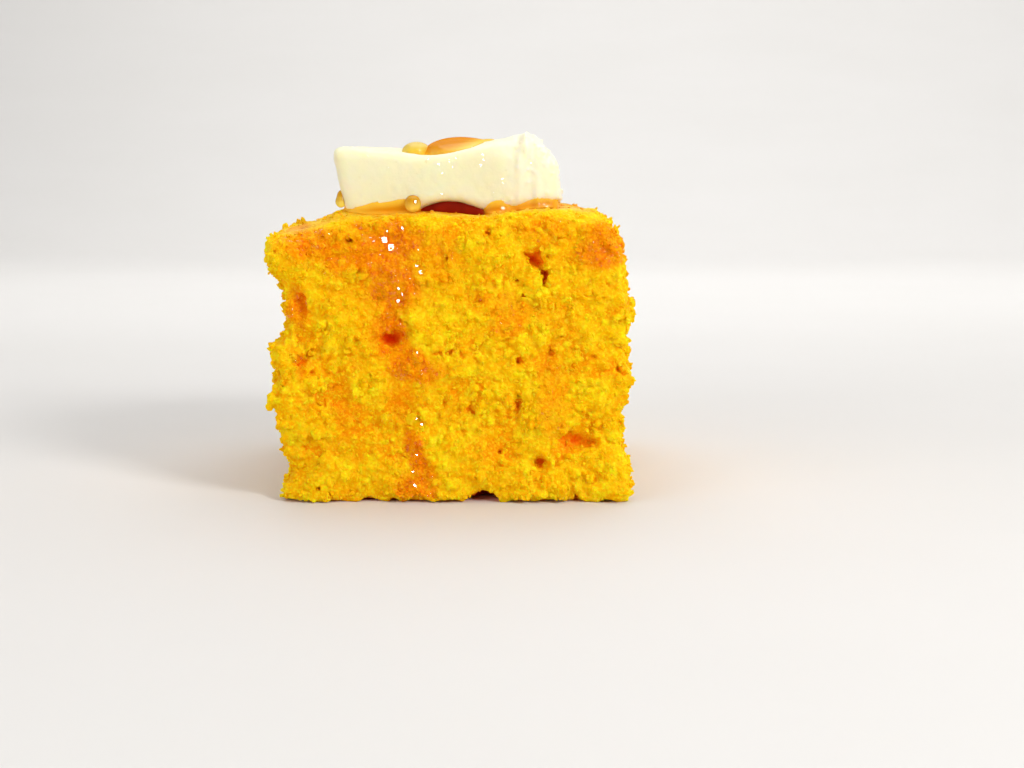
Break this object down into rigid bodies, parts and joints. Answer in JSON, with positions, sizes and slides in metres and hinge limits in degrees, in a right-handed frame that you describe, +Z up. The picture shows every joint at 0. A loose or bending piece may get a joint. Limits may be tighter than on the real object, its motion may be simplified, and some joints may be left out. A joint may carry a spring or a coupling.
{
  "type": "cornbread square",
  "caption": "Square portion of cut cornbread with a syrup-soaked crumb, a domed crust and a pat of softened butter lying on it.",
  "frame": {"origin": "on the surface the square stands on, under the middle of its box", "axes": "+Z up through the crust, -Y towards the front cut face near which the butter lies, +X to the right as seen from the front"},
  "size_m": [0.0598, 0.0576, 0.0606],
  "materials": {
    "cornbread_crumb": "matte",
    "soft_butter": "satin",
    "table_syrup": "gloss"
  },
  "bodies": {
    "root": {"cornbread": "cornbread_crumb", "butter_pat": "soft_butter"}
  },
  "joints": []
}
